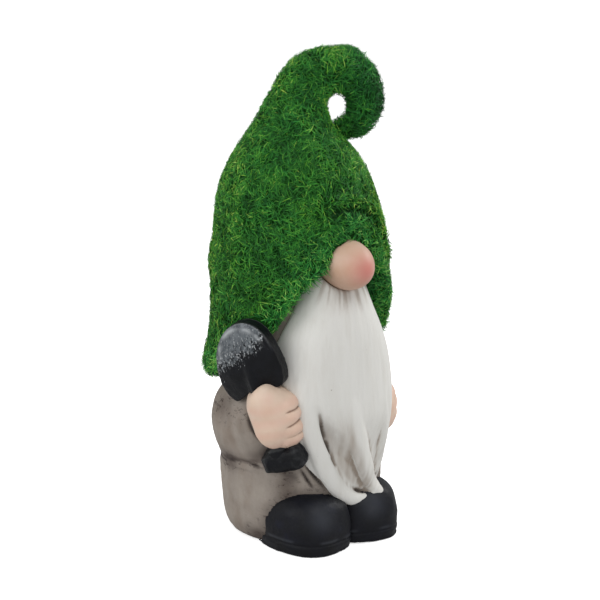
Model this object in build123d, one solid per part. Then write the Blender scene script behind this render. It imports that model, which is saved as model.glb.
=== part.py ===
from build123d import *

import os
from math import cos, radians, sin

# Garden gnome with a grass-flocked hat: a hollow cast figure, bonded together from separate castings.
# Millimetres. The figure faces -Y, +X is its own left, +Z is up, and the origin is on the ground,
# under the middle of the coat.

# Driving dimensions
HEIGHT = 300.0  # ground to the top of the curl
COAT_RADIUS = 52.0  # half width of the coat's widest ring
TURF = 4.0  # depth of the grass flock
BRIM_TURN = 5.0  # depth of the flock that is turned in under the rim
HAT_WALL = 5.0
BODY_WALL = 6.0
BOND_GAP = 0.15  # adhesive line between two castings
RUNNING_GAP = 0.05  # radial clearance of a pin in its hole
CAST_FIT = 1.015  # size of a cast socket over the casting that sits in it

# Hat: rings of the bell as (height, radius, lean towards the curl), flock included
BELL_RINGS = [
    (84, 54.5, -2),
    (94, 57, -2.5),
    (106, 58.7, -2.5),
    (118, 56.6, -2),
    (132, 55.3, -1),
    (160, 55.4, -0.5),
    (184, 53.4, -1),
    (202, 50.6, -2),
    (216, 47, -3),
    (228, 42, -3.5),
    (238, 36, -4),
]
# Curl: points of its spine as (reach from the figure's axis, height, radius), flock included
CURL_SPINE = [
    (-4.2, 248, 28.2),
    (-3.6, 258, 22),
    (-1.2, 268, 18.2),
    (3.2, 277, 16.6),
    (12.5, 283.4, 15.4),
    (23.5, HEIGHT - 14.8, 14.8),
    (33.5, 280.5, 13.2),
    (39, 271.5, 11.9),
    (39.8, 262.3, 11),
    (36.4, 254.6, 9.8),
    (31, 250.8, 8.2),
    (26, 251, 5.6),
]
CURL_HEADING = -20.0  # degrees from +X towards the front
WIRE_R = 1.2
CAVITY_TOP = 230.0
# Rim: its height at every RIM_STEP degrees from the front round to the back, the same on both sides
RIM = [191, 179, 164, 147.5, 130, 118, 109, 101.5, 96.5, 94, 92.5, 91.5, 91]
RIM_STEP = 15.0

# Coat and head: rings as (height, half width in x, half depth in y)
COAT_RINGS = [
    (0, 42, 40.5),
    (2.5, 45.5, 44),
    (9, 48.5, 46.5),
    (24, 50.5, 48),
    (44, 51.7, 48.7),
    (70, COAT_RADIUS, 48.7),
    (90, 49, 46.5),
    (110, 45, 43),
    (140, 41, 39),
    (160, 37, 34),
    (176, 31, 28),
    (186, 22, 20),
    (191, 10, 10),
]
# Arms: masses on each side as (x, y, z of the middle), (half axes)
ARM_MASSES = [((41.5, 5, 74), (17, 22, 26)), ((43, -12, 77), (15, 17, 20))]

# Base: a disc bonded into the open bottom of the coat, with a stepped hole for the plug
BASE_R, BASE_DEPTH = 36.5, 7.0
HOLE_R, HOLE_Y = 10.0, 12.0
FLANGE_R, FLANGE_DEPTH = 13.0, 2.0
PLUG_RECESS, PLUG_LENGTH = 2.0, 9.0

# Boots, by side of the figure: place of the middle, and half width
BOOT_AT = {-1: (-21.9, -29.0), 1: (22.4, -26.0)}
BOOT_HALF_WIDTH = {-1: 22.6, 1: 21.6}
BOOT_HALF_LENGTH = 33.4
BOOT_SQUARENESS = 2.3
# Boot rings as (height, share of the width, share of the length), with the welt's groove above the sole
BOOT_RINGS = [
    (0, 0.92, 0.94),
    (1.5, 0.97, 0.98),
    (5, 1, 1),
    (7, 0.99, 0.995),
    (8.5, 0.955, 0.97),
    (11, 0.965, 0.975),
    (18, 0.96, 0.965),
    (25, 0.88, 0.91),
    (30.5, 0.72, 0.8),
    (34, 0.48, 0.6),
    (35.5, 0.2, 0.3),
]

# Beard: rings as (height, middle in x, half width, reach to the front)
BEARD_RINGS = [
    (172, 0, 14, 44),
    (160, 0, 22, 49.5),
    (145, 0, 28, 53),
    (128, 0, 35.5, 55.5),
    (105, 0, 41, 57),
    (85, 0, 42, 58),
    (65, 1, 38, 57.5),
    (52, 2.5, 32.5, 56),
    (42, 4.5, 28, 54.5),
    (34, 6.5, 22, 53),
    (28, 8, 15.5, 51.5),
    (25, 9, 9, 49),
]
BEARD_MIDDLE_Y = -22.0
BEARD_SQUARENESS = 2.7

# Nose
NOSE_AT, NOSE_RADII = (0, -44.5, 174.8), (15.2, 21.8, 15.4)
SPIGOT_R, SPIGOT_LENGTH, SPIGOT_BACK = 5.0, 16.0, 20.0

# Hands
RIGHT_HAND_AT, RIGHT_HAND_RADII = (-43.6, -36.5, 85.5), (14.8, 16.5, 19.3)
RIGHT_HAND_SIDE = (0.83, -0.56, 0)  # the way the narrow side of the fist looks
LEFT_HAND_AT, LEFT_HAND_RADII = (43, -21, 74), (12, 14, 17)
RIGHT_WRIST, LEFT_WRIST = 34.0, 24.0  # lengths of the wrists inside the sleeves
WRIST_R = 6.0

# Shovel, along its own axis through the right hand
SHOVEL_AT = Vector(-47.6, -33.8, 87)
SHOVEL_AXIS = Vector(-0.26, 0.17, 0.95).normalized()
SHOVEL_FACE = Vector(-0.87, -0.5, 0)  # the way the blade's face looks, seen in plan
GRIP_BELOW, BLADE_ABOVE = 29.0, 33.5  # from the hand to the middle of the grip and of the blade
SHAFT_R = 3.5
BLADE_THICKNESS, BLADE_DOME_R = 9.0, 62.0
BLADE_OFFSET = -2.6  # the blade sits a little to one side of its shaft
BLADE_SKEW = 0.17  # and one of its shoulders is higher than the other
BLADE_SIDE = [(0, 24.5), (9.5, 21.5), (17.5, 12), (21.3, -2), (20.8, -15), (17.5, -20.5), (8, -19), (0, -19)]
BLADE_SOCKET_R, BLADE_SOCKET = 5.6, 14.0
GRIP_R, GRIP_WIDTH, GRIP_ROUND = 7.2, 26.0, 4.0
GRIP_SOCKET_R, GRIP_SOCKET = 6.4, 9.0

# Pins that lie front to back through a joint face
PIN_R, PIN_LENGTH = 2.5, 18.0
BEARD_PINS = [(0, -44, 112), (0, -45, 66)]
BOOT_PINS = [(-20, -44, 15), (20, -44, 15)]
END_SPARE = 0.3  # empty length past each end of a pin, shaft or wrist

BOTTOM = (Align.CENTER, Align.CENTER, Align.MIN)


def ellipsoid(at, radii, grow=0.0):
    """A closed ellipsoid with its half axes along x, y and z."""
    return Pos(*at) * scale(Sphere(1), by=tuple(r + grow for r in radii))


def superellipse(half_x, half_y, power, points=20):
    """A closed smooth outline between an ellipse (power 2) and a rounded box (power 4)."""
    outline = []
    for i in range(points):
        a = radians(360 * i / points)
        x = half_x * abs(cos(a)) ** (2 / power)
        y = half_y * abs(sin(a)) ** (2 / power)
        outline.append((x if cos(a) >= 0 else -x, y if sin(a) >= 0 else -y))
    return make_face(Spline(*outline, periodic=True))


def lying(radius, length):
    """A cylinder that lies front to back."""
    return Rot(90, 0, 0) * Cylinder(radius, length)


def cut(shape, tools):
    for tool in tools:
        shape = shape - tool
    return shape


def fuse(shapes):
    whole = shapes[0]
    for shape in shapes[1:]:
        whole = whole + shape
    return whole


# Hat


def heading(reach):
    """The plan position that far out towards the curl."""
    return reach * cos(radians(CURL_HEADING)), reach * sin(radians(CURL_HEADING))


def bell_sections(inset, top=HEIGHT):
    """Level circles of the lower hat, set in from the grass by inset."""
    sections = []
    for z, r, lean in BELL_RINGS:
        if z <= top:
            sections.append(Pos(*heading(lean), z) * Circle(r - inset))
    return sections


def curl_points():
    return [Vector(*heading(reach), z) for reach, z, _ in CURL_SPINE]


def curl_sections(inset):
    """Circles square to the curl's spine, set in from the grass by inset."""
    spine = curl_points()
    sections = []
    for i, (_, _, r) in enumerate(CURL_SPINE):
        ahead = spine[min(i + 1, len(spine) - 1)] - spine[max(i - 1, 0)]
        sections.append(Plane(origin=spine[i], z_dir=ahead) * Circle(r - inset))
    return sections


def hat_solid(inset):
    """The whole hat as one solid, with a ball at the end of the curl."""
    end = Pos(*curl_points()[-1]) * Sphere(CURL_SPINE[-1][2] - inset)
    return loft(bell_sections(inset) + curl_sections(inset)) + end


def under_rim(shift=0.0):
    """Everything around the axis and below the rim line, which is level along any radius."""
    halves = []
    for side in (-1, 1):
        grid = []
        for i, z in enumerate(RIM):
            a = radians(RIM_STEP * i)
            grid.append([Vector(side * r * sin(a), -r * cos(a), z + shift) for r in (14, 40, 60, 90)])
        halves.append(extrude(Face.make_surface_from_array_of_points(grid), 130, dir=(0, 0, -1)))
    return fuse(halves)


def curl_wire(radius):
    """The stiffening wire along the curl's spine, short of its tip."""
    spine = Spline(*curl_points()[:-1])
    return sweep(Plane(origin=spine @ 0, z_dir=spine % 0) * Circle(radius), path=spine)


# Body


def coat(inset=0.0, bottom=0.0):
    """Coat and head as one solid, set in by inset and cut off level at the bottom."""
    rings = []
    for z, half_x, half_y in COAT_RINGS:
        if half_x > inset + 3:
            rings.append(Pos(0, 0, z) * Ellipse(half_x - inset, half_y - inset))
    above = Pos(0, 0, bottom) * Box(4 * COAT_RADIUS, 4 * COAT_RADIUS, HEIGHT, align=BOTTOM)
    return loft(rings) & above


def clothed(grow=0.0):
    """Coat, head and both arms as one solid, grown by grow."""
    masses = [coat(-grow)]
    for side in (-1, 1):
        for (x, y, z), radii in ARM_MASSES:
            masses.append(ellipsoid((side * x, y, z), radii, grow))
    return fuse(masses)


def boot(side, grow=0.0):
    """A blunt, full boot on a welted sole, standing on the ground."""
    sections = []
    for z, width, length in BOOT_RINGS:
        half_x = BOOT_HALF_WIDTH[side] * width + grow
        half_y = BOOT_HALF_LENGTH * length + grow
        lift = grow if z == BOOT_RINGS[-1][0] else 0.0
        sections.append(Pos(*BOOT_AT[side], z + lift) * superellipse(half_x, half_y, BOOT_SQUARENESS))
    return loft(sections)


def beard_mass(grow=0.0):
    """The beard's whole mass, before the coat and the boots are taken out of it."""
    rings = []
    for z, x, half, reach in BEARD_RINGS:
        outline = superellipse(half + grow, reach + BEARD_MIDDLE_Y + grow, BEARD_SQUARENESS)
        rings.append(Pos(x, BEARD_MIDDLE_Y, z) * outline)
    return loft(rings)


def nose(grow=0.0):
    """An egg that points forwards, with a spigot into the head."""
    x, y, z = NOSE_AT
    spigot = Pos(x, y + SPIGOT_BACK, z) * lying(SPIGOT_R + grow, SPIGOT_LENGTH)
    return ellipsoid(NOSE_AT, NOSE_RADII, grow) + spigot


def wrist(at, length, grow=0.0, spare=0.0):
    """A round wrist that runs back from a hand into its sleeve."""
    x, y, z = at
    return Pos(0.97 * x, y + (length + spare) / 2, z - 2) * lying(WRIST_R + grow, length + spare)


def right_hand(grow=0.0, spare=0.0):
    """The fist around the shovel, leaning with it."""
    lean = Plane(origin=RIGHT_HAND_AT, x_dir=RIGHT_HAND_SIDE, z_dir=SHOVEL_AXIS)
    fist = lean * ellipsoid((0, 0, 0), RIGHT_HAND_RADII, grow)
    return fist + wrist(RIGHT_HAND_AT, RIGHT_WRIST, grow, spare)


def left_hand(grow=0.0, spare=0.0):
    return ellipsoid(LEFT_HAND_AT, LEFT_HAND_RADII, grow) + wrist(LEFT_HAND_AT, LEFT_WRIST, grow, spare)


def pins(places, grow=0.0, spare=0.0):
    return [Pos(*at) * lying(PIN_R + grow, PIN_LENGTH + 2 * spare) for at in places]


# Shovel


def shovel_plane(along):
    """A plane across the shovel's axis: z towards the blade, x to its side and y behind its face."""
    across = SHOVEL_AXIS.cross(SHOVEL_FACE).normalized()
    return Plane(origin=SHOVEL_AT + SHOVEL_AXIS * along, x_dir=across, z_dir=SHOVEL_AXIS)


def shovel_blade():
    """A thick domed spade blade with square shoulders and a socket, upright about its own middle."""
    right = [(BLADE_OFFSET + u, w + BLADE_SKEW * u) for u, w in BLADE_SIDE]
    left = [(BLADE_OFFSET - u, w - BLADE_SKEW * u) for u, w in reversed(BLADE_SIDE[1:-1])]
    outline = make_face(Spline(*right, *left, periodic=True))
    plate = extrude(Plane.XZ * outline, BLADE_THICKNESS, both=True)
    front = Pos(0, BLADE_DOME_R - BLADE_THICKNESS / 2, 0) * Sphere(BLADE_DOME_R)
    back = Pos(0, BLADE_DOME_R + BLADE_THICKNESS / 2, 0) * Sphere(BLADE_DOME_R)
    socket = Pos(0, 0, -BLADE_SOCKET) * Cylinder(BLADE_SOCKET_R, BLADE_SOCKET)
    return (plate & front - back) + socket


def shovel_grip():
    """A short cross bar with blunt ends and a socket, level about its own middle."""
    bar = Rot(0, 90, 0) * Cylinder(GRIP_R, GRIP_WIDTH)
    bar = fillet(bar.edges(), GRIP_ROUND)
    return bar + Pos(0, 0, GRIP_SOCKET / 2) * Cylinder(GRIP_SOCKET_R, GRIP_SOCKET)


def shovel_shaft(grow=0.0, spare=0.0):
    """The rod from the grip's socket to the blade's."""
    low, high = -GRIP_BELOW - 2 - spare, BLADE_ABOVE - 8 + spare
    return shovel_plane((low + high) / 2) * Cylinder(SHAFT_R + grow, high - low)


# Base


def base_plate():
    hole_at = Pos(0, HOLE_Y, 0)
    hole = hole_at * Cylinder(HOLE_R, 3 * BASE_DEPTH)
    flange_seat = hole_at * Cylinder(FLANGE_R + 0.5, 2 * (PLUG_RECESS + FLANGE_DEPTH))
    return cut(Cylinder(BASE_R, BASE_DEPTH, align=BOTTOM), [hole, flange_seat])


def fill_plug():
    """A rubber plug: a round stem with a flange under the base."""
    stem = Cylinder(HOLE_R - RUNNING_GAP, PLUG_LENGTH, align=BOTTOM)
    stem = chamfer(stem.faces().sort_by(Axis.Z)[-1].edges(), 1)
    flange = Cylinder(FLANGE_R, FLANGE_DEPTH, align=BOTTOM)
    return Pos(0, HOLE_Y, PLUG_RECESS) * (stem + flange)


# Room that one piece leaves for another
body_room = clothed(BOND_GAP)
beard_room = beard_mass(BOND_GAP)
nose_room = nose(BOND_GAP)
boot_room = [boot(side, BOND_GAP) for side in (-1, 1)]
hand_room = [right_hand(BOND_GAP, END_SPARE), left_hand(BOND_GAP, END_SPARE)]
shaft_room = shovel_shaft(RUNNING_GAP, END_SPARE)
blade_room = shovel_plane(BLADE_ABOVE) * scale(shovel_blade(), by=CAST_FIT)
grip_room = shovel_plane(-GRIP_BELOW) * scale(shovel_grip(), by=CAST_FIT)
beard_pin_room = pins(BEARD_PINS, RUNNING_GAP, END_SPARE)
boot_pin_room = pins(BOOT_PINS, RUNNING_GAP, END_SPARE)
held = [nose_room, *hand_room, shaft_room, blade_room, grip_room]

# Hat: the flock wraps the shell and turns in under its rim
shell_inset = TURF + BOND_GAP
face_opening = [beard_room, nose_room, body_room]
under_flock = hat_solid(TURF) - under_rim(BRIM_TURN)
hat_turf = cut(hat_solid(0), [under_flock, under_rim(), *face_opening, blade_room])
hat_cavity = loft(bell_sections(shell_inset + HAT_WALL, CAVITY_TOP))
above_flock = under_rim(BRIM_TURN + BOND_GAP)
wire_room = curl_wire(WIRE_R + RUNNING_GAP)
hat_shell = cut(hat_solid(shell_inset), [hat_cavity, above_flock, wire_room, *face_opening])

# Body
hollow = coat(BODY_WALL, BASE_DEPTH)
base_seat = Pos(0, 0, -1) * Cylinder(BASE_R + BOND_GAP, BASE_DEPTH + 1, align=BOTTOM)
body_shell = cut(clothed(), [hollow, base_seat, *held, *beard_pin_room, *boot_pin_room])
beard = cut(beard_mass(), [body_room, *boot_room, *held, *beard_pin_room])

nodes = {
    "hat_turf": hat_turf,
    "hat_shell": hat_shell,
    "curl_wire": curl_wire(WIRE_R),
    "nose": nose(),
    "body_shell": body_shell,
    "beard": beard,
    "beard_pins": Compound(pins(BEARD_PINS)),
    "base_plate": base_plate(),
    "fill_plug": fill_plug(),
    "right_boot": cut(boot(-1), [body_room, boot_room[1], *boot_pin_room]),
    "left_boot": cut(boot(1), [body_room, *boot_pin_room]),
    "boot_pins": Compound(pins(BOOT_PINS)),
    "right_hand": cut(right_hand(), [shaft_room, blade_room, grip_room]),
    "left_hand": left_hand(),
    "shovel_shaft": shovel_shaft(),
    "shovel_blade": shovel_plane(BLADE_ABOVE) * shovel_blade() - shaft_room,
    "shovel_grip": shovel_plane(-GRIP_BELOW) * shovel_grip() - shaft_room,
}

os.makedirs("parts", exist_ok=True)
for name, shape in nodes.items():
    export_step(shape, f"parts/{name}.step")
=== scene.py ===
import functools
import math

import bpy
import numpy as np
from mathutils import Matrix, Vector
from mathutils.bvhtree import BVHTree


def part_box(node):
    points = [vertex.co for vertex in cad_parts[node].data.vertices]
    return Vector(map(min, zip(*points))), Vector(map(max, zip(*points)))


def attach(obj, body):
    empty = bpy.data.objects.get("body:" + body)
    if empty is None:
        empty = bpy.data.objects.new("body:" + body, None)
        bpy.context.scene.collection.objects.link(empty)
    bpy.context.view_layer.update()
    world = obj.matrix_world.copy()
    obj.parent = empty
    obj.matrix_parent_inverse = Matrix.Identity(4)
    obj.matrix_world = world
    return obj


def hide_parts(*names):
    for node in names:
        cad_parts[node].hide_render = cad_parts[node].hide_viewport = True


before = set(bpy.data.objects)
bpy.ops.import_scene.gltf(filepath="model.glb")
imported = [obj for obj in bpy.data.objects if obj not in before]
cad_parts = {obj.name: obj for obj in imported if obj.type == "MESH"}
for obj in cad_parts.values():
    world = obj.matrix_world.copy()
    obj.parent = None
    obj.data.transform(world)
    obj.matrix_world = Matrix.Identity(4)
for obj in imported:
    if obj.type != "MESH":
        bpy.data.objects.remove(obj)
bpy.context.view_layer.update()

# A garden gnome with a grass-flocked hat. Each visible casting is a sculpted copy of its CAD node, and
# the hat carries blades of grass. Shapes are worked out in millimetres, and meshes are in metres.

MM = 0.001
SEED = 7


# ---------------- numbers and noise


def ease(low, high, x):
    """0 up to low, 1 from high on, and smooth between. High may be the lower one."""
    t = np.clip((x - low) / (high - low), 0, 1)
    return t * t * (3 - 2 * t)


def bump(x, width):
    """1 at x = 0, and near 0 a width or two away."""
    return np.exp(-((x / width) ** 2))


def unit(v):
    """The same directions with length 1."""
    return v / np.linalg.norm(v, axis=1)[:, None]


def noise(points, size, seed=0):
    """Smooth noise from -1 to 1, with features of about that size, which is one number or three."""
    # the shift keeps every cell's number above 0
    q = points / np.asarray(size, float) + 1000
    cell = np.floor(q).astype(np.int64)
    f = q - cell
    f = f * f * (3 - 2 * f)
    total = np.zeros(len(points))
    for corner in range(8):
        step = np.array([corner & 1, corner >> 1 & 1, corner >> 2 & 1])
        c = cell + step
        # a hash gives each corner of a cell its own fixed value
        h = (c[:, 0] * 73856093) ^ (c[:, 1] * 19349663) ^ (c[:, 2] * 83492791) ^ (seed * 2654435761)
        h = ((h & 0xFFFFFFFF) * 1274126177) & 0xFFFFFFFF
        h = ((h ^ (h >> 15)) * 2246822519) & 0xFFFFFFFF
        value = ((h ^ (h >> 13)) & 0xFFFF) / 32767.5 - 1
        total += value * np.prod(np.where(step, f, 1 - f), axis=1)
    return total


def rough_noise(points, size, seed=0):
    """Noise in three layers, each half the size and strength of the one before."""
    size = np.asarray(size, float)
    return sum(noise(points, size / 2**i, seed + i) / 2**i for i in range(3)) / 1.5


def turn_of(points):
    """Bearing of each point round the figure, in degrees: 0 in front, and 90 on its left."""
    return np.degrees(np.arctan2(points[:, 0], -points[:, 1]))


# ---------------- paths


def fine_path(path, step=1.5):
    """The same path as a smooth curve with close points."""
    path = np.asarray(path, float)
    ends = np.vstack([2 * path[0] - path[1], path, 2 * path[-1] - path[-2]])
    out = []
    for i in range(1, len(ends) - 2):
        a, b, c, d = ends[i - 1 : i + 3]
        first = c - a
        second = 2 * a - 5 * b + 4 * c - d
        third = 3 * b - a - 3 * c + d
        for t in np.arange(0, 1, step / max(np.linalg.norm(c - b), step)):
            out.append(0.5 * (2 * b + first * t + second * t**2 + third * t**3))
    return np.array(out + [path[-1]])


def beside(points, path):
    """Distance from each point to a path, and the share of the path passed there.

    The distance is above 0 on the left of the way ahead, seen from the front, and below 0 on the right.
    """
    distance = np.full(len(points), 1e9)
    share = np.zeros(len(points))
    side = np.zeros(len(points))
    lengths = np.linalg.norm(np.diff(path, axis=0), axis=1)
    passed = 0.0
    for a, b, length in zip(path[:-1], path[1:], lengths):
        ab = b - a
        t = np.clip((points - a) @ ab / (ab @ ab), 0, 1)
        off = points - a - t[:, None] * ab
        d = np.linalg.norm(off, axis=1)
        closer = d < distance
        distance[closer] = d[closer]
        share[closer] = ((passed + t * length) / lengths.sum())[closer]
        side[closer] = np.sign(ab[0] * off[:, 2] - ab[2] * off[:, 0])[closer]
        passed += length
    return np.where(side > 0, distance, -distance), share


# ---------------- meshes from CAD nodes


def values_of(elements, key, width, kind=float):
    """One value or vector for each element of a mesh, as rows."""
    out = np.zeros(len(elements) * width, kind)
    elements.foreach_get(key, out)
    return out.reshape(-1, width)


def node_mesh(name):
    """Vertices in millimetres and triangles of a CAD node."""
    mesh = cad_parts[name].data
    mesh.calc_loop_triangles()
    verts = values_of(mesh.vertices, "co", 3)
    return verts / MM, values_of(mesh.loop_triangles, "vertices", 3, int)


def joined(meshes):
    """Several meshes as one, each given as vertices and triangles."""
    verts, faces, start = [], [], 0
    for v, f in meshes:
        verts.append(v)
        faces.append(np.asarray(f) + start)
        start += len(v)
    return np.vstack(verts), np.vstack(faces)


def tree_of(*names):
    """A search tree over the surfaces of those CAD nodes."""
    verts, faces = joined([node_mesh(n) for n in names])
    return BVHTree.FromPolygons(verts.tolist(), faces.tolist())


def gap_to(points, *names, far=14.0):
    """Distance from each point to the nearest of those CAD nodes, up to far."""
    tree = tree_of(*names)
    out = np.full(len(points), far)
    for i, p in enumerate(points):
        hit = tree.find_nearest(Vector(p), far)
        if hit[0] is not None:
            out[i] = hit[3]
    return out


def corners(name):
    """Lowest and highest corner of a CAD node, in millimetres."""
    low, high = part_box(name)
    return np.array(low) / MM, np.array(high) / MM


def measure(points, middle, *axes):
    """How far each point lies from the middle, along each of the axes."""
    return [(points - np.array(middle)) @ np.array(axis) for axis in axes]


def linked(name, data):
    """An object in the scene with that data."""
    obj = bpy.data.objects.new(name, data)
    bpy.context.scene.collection.objects.link(obj)
    return obj


def new_object(name, verts, faces):
    """A mesh object from vertices in millimetres."""
    mesh = bpy.data.meshes.new(name)
    mesh.from_pydata((np.asarray(verts) * MM).tolist(), [], np.asarray(faces).tolist())
    return linked(name, mesh)


def write_attribute(mesh, name, values):
    """Keeps a value for each point under a name that materials can read."""
    layer = mesh.attributes.new(name, "FLOAT", "POINT")
    layer.data.foreach_set("value", np.asarray(values, np.float32).ravel())


class Clay:
    """A closed piece that is shaped point by point, in millimetres."""

    def __init__(self, name, meshes, grain):
        self.name = name
        self.obj = new_object(name, *joined(meshes))
        self.remesh(grain)

    def remesh(self, grain):
        """Rebuilds the surface with points a grain apart, and joins masses that overlap."""
        modifier = self.obj.modifiers.new("grain", "REMESH")
        modifier.mode = "VOXEL"
        modifier.voxel_size = grain * MM
        depsgraph = bpy.context.evaluated_depsgraph_get()
        mesh = bpy.data.meshes.new_from_object(self.obj.evaluated_get(depsgraph))
        self.obj.modifiers.clear()
        self.obj.data = mesh
        self.read()

    def read(self):
        """Takes over the mesh's points and edges."""
        mesh = self.obj.data
        self.at = values_of(mesh.vertices, "co", 3) / MM
        self.edges = values_of(mesh.edges, "vertices", 2, int)
        self.degree = np.bincount(self.edges.ravel(), minlength=len(self.at)).clip(1)[:, None]
        self.update()

    def update(self):
        """Writes the points to the mesh and takes over its normals."""
        mesh = self.obj.data
        mesh.vertices.foreach_set("co", (self.at * MM).ravel())
        mesh.update()
        self.out = values_of(mesh.vertex_normals, "vector", 3)

    def spread(self, values):
        """Each point's mean over its neighbours."""
        a, b = self.edges.T
        total = np.empty_like(values)
        for k in range(values.shape[1]):
            total[:, k] = np.bincount(a, values[b, k], len(values))
            total[:, k] += np.bincount(b, values[a, k], len(values))
        return total / self.degree

    def smooth(self, steps, where=None):
        """Draws each point towards its neighbours, as much as where says."""
        weight = 0.6 if where is None else 0.6 * where[:, None]
        for _ in range(steps):
            self.at = self.at + (self.spread(self.at) - self.at) * weight
        self.update()

    def push(self, amount):
        """Moves each point out along the surface's normal."""
        self.at = self.at + self.out * amount[:, None]
        self.update()

    def hollows(self, steps):
        """How far each point lies below the smoothed surface around it, in millimetres."""
        wide = self.at
        for _ in range(steps):
            wide = self.spread(wide)
        return ((wide - self.at) * self.out).sum(1)

    def triangles(self):
        """The surface's four-sided faces, each as two triangles."""
        quads = np.array([p.vertices[:] for p in self.obj.data.polygons])
        return np.vstack([quads[:, [0, 1, 2]], quads[:, [0, 2, 3]]])

    def paint(self, name, values, lowest=0):
        """Keeps how much of something each point has, up to 1."""
        write_attribute(self.obj.data, name, np.clip(values, lowest, 1))

    def finish(self, material, node, slot):
        """Gives the piece its material and puts it in the CAD node's place."""
        self.at[:, 2] = np.maximum(self.at[:, 2], 0)
        self.update()
        self.obj.data.shade_smooth()
        give(self.obj, material)
        place(self.obj, slot, node)


def give(obj, material):
    """Makes that the object's only material."""
    obj.data.materials.clear()
    obj.data.materials.append(material)


def place(obj, slot, *nodes):
    """Puts a piece on the figure's body, and in the place of those CAD nodes."""
    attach(obj, "figure")
    if nodes:
        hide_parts(*nodes)


# ---------------- materials


def tint(red, green, blue):
    """A paint colour, given on the usual 0 to 255 scale."""
    channels = [c / 255 for c in (red, green, blue)]
    return [c / 12.92 if c <= 0.04045 else ((c + 0.055) / 1.055) ** 2.4 for c in channels] + [1.0]


class Paint:
    """A procedural material: a Principled shader with the nodes that feed it. Sizes in millimetres."""

    def __init__(self, name, roughness=0.5, specular=0.4, metallic=0.0):
        self.material = bpy.data.materials.new(name)
        self.material.use_nodes = True
        self.tree = self.material.node_tree
        self.shader = self.tree.nodes["Principled BSDF"]
        self.set(self.shader, "Roughness", roughness)
        self.set(self.shader, "Specular IOR Level", specular)
        self.set(self.shader, "Metallic", metallic)
        self.spot = self.node("TexCoord").outputs["Object"]

    def set(self, node, key, value):
        """Links a socket to a node's input, or writes a plain value there."""
        if isinstance(value, bpy.types.NodeSocket):
            self.tree.links.new(value, node.inputs[key])
        else:
            node.inputs[key].default_value = value

    def node(self, kind, inputs=None, **settings):
        node = self.tree.nodes.new("ShaderNode" + kind)
        for key, value in settings.items():
            setattr(node, key, value)
        for key, value in (inputs or {}).items():
            self.set(node, key, value)
        return node

    def noise(self, size, detail=3.0, stretch=(1, 1, 1), roughness=0.5):
        """Noise with features of that size, drawn out along each axis by stretch."""
        scale = [1 / (size * MM * s) for s in stretch]
        spot = self.node("Mapping", {"Vector": self.spot, "Scale": scale}).outputs[0]
        inputs = {"Vector": spot, "Scale": 1.0, "Detail": detail, "Roughness": roughness}
        return self.node("TexNoise", inputs).outputs[0]

    def attribute(self, name):
        return self.node("Attribute", attribute_name=name).outputs["Fac"]

    def ramp(self, factor, *stops):
        """A colour ramp through stops of (position, colour or grey)."""
        node = self.node("ValToRGB", {"Fac": factor})
        elements = node.color_ramp.elements
        while len(elements) < len(stops):
            elements.new(0.5)
        for element, (position, colour) in zip(elements, stops):
            element.position = position
            element.color = colour if isinstance(colour, list) else [colour] * 3 + [1]
        return node.outputs[0]

    def mix(self, factor, a, b):
        """A where the factor is 0, and b where it is 1."""
        node = self.node("Mix", data_type="RGBA")
        self.set(node, 0, factor)
        self.set(node, 6, a)
        self.set(node, 7, b)
        return node.outputs[2]

    def sum(self, a, b):
        return self.node("Math", {0: a, 1: b}, operation="ADD").outputs[0]

    def product(self, a, b):
        return self.node("Math", {0: a, 1: b}, operation="MULTIPLY").outputs[0]

    def relief(self, depth, *heights):
        """Fine unevenness in the shading, about depth deep, from the sum of the heights."""
        inputs = {"Height": functools.reduce(self.sum, heights), "Distance": depth * MM, "Strength": 1.0}
        self.set(self.shader, "Normal", self.node("Bump", inputs).outputs[0])

    def colour(self, value):
        """Sets the colour and hands over the finished material."""
        self.set(self.shader, "Base Color", value)
        return self.material


def beard_paint():
    """Off-white paint with strands, small pits, a brown wash with painted shade under the hat and the
    nose, and dark crevices of painted shade.
    """
    paint = Paint("beard_paint", 0.62, 0.3)
    strands = paint.noise(5, 5, (1, 1, 9), 0.62)
    white = paint.ramp(
        strands,
        (0.25, tint(218, 216, 210)),
        (0.5, tint(224, 223, 218)),
        (0.8, tint(228, 227, 223)),
    )
    wash_and_shade = paint.attribute("wash_and_shade")
    ragged = paint.sum(wash_and_shade, paint.sum(paint.noise(3, 4, (1, 1, 4)), -0.5))
    tone = paint.ramp(wash_and_shade, (0.0, 0.0), (1.0, 1.0))
    tone = paint.mix(0.35, tone, paint.ramp(ragged, (0.15, 0.0), (1.0, 1.0)))
    washed = paint.mix(tone, white, tint(160, 148, 136))
    pits = paint.ramp(paint.noise(2.6, 1), (0.17, 1.0), (0.2, 0.0))
    marked = paint.mix(paint.product(pits, 0.5), washed, tint(120, 108, 98))
    cracked_and_shaded = paint.mix(paint.attribute("cracks_and_shade"), marked, tint(48, 41, 38))
    paint.relief(0.09, paint.noise(1.4, 3, (1, 1, 7)), paint.noise(0.7, 2))
    return paint.colour(cracked_and_shaded)


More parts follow.
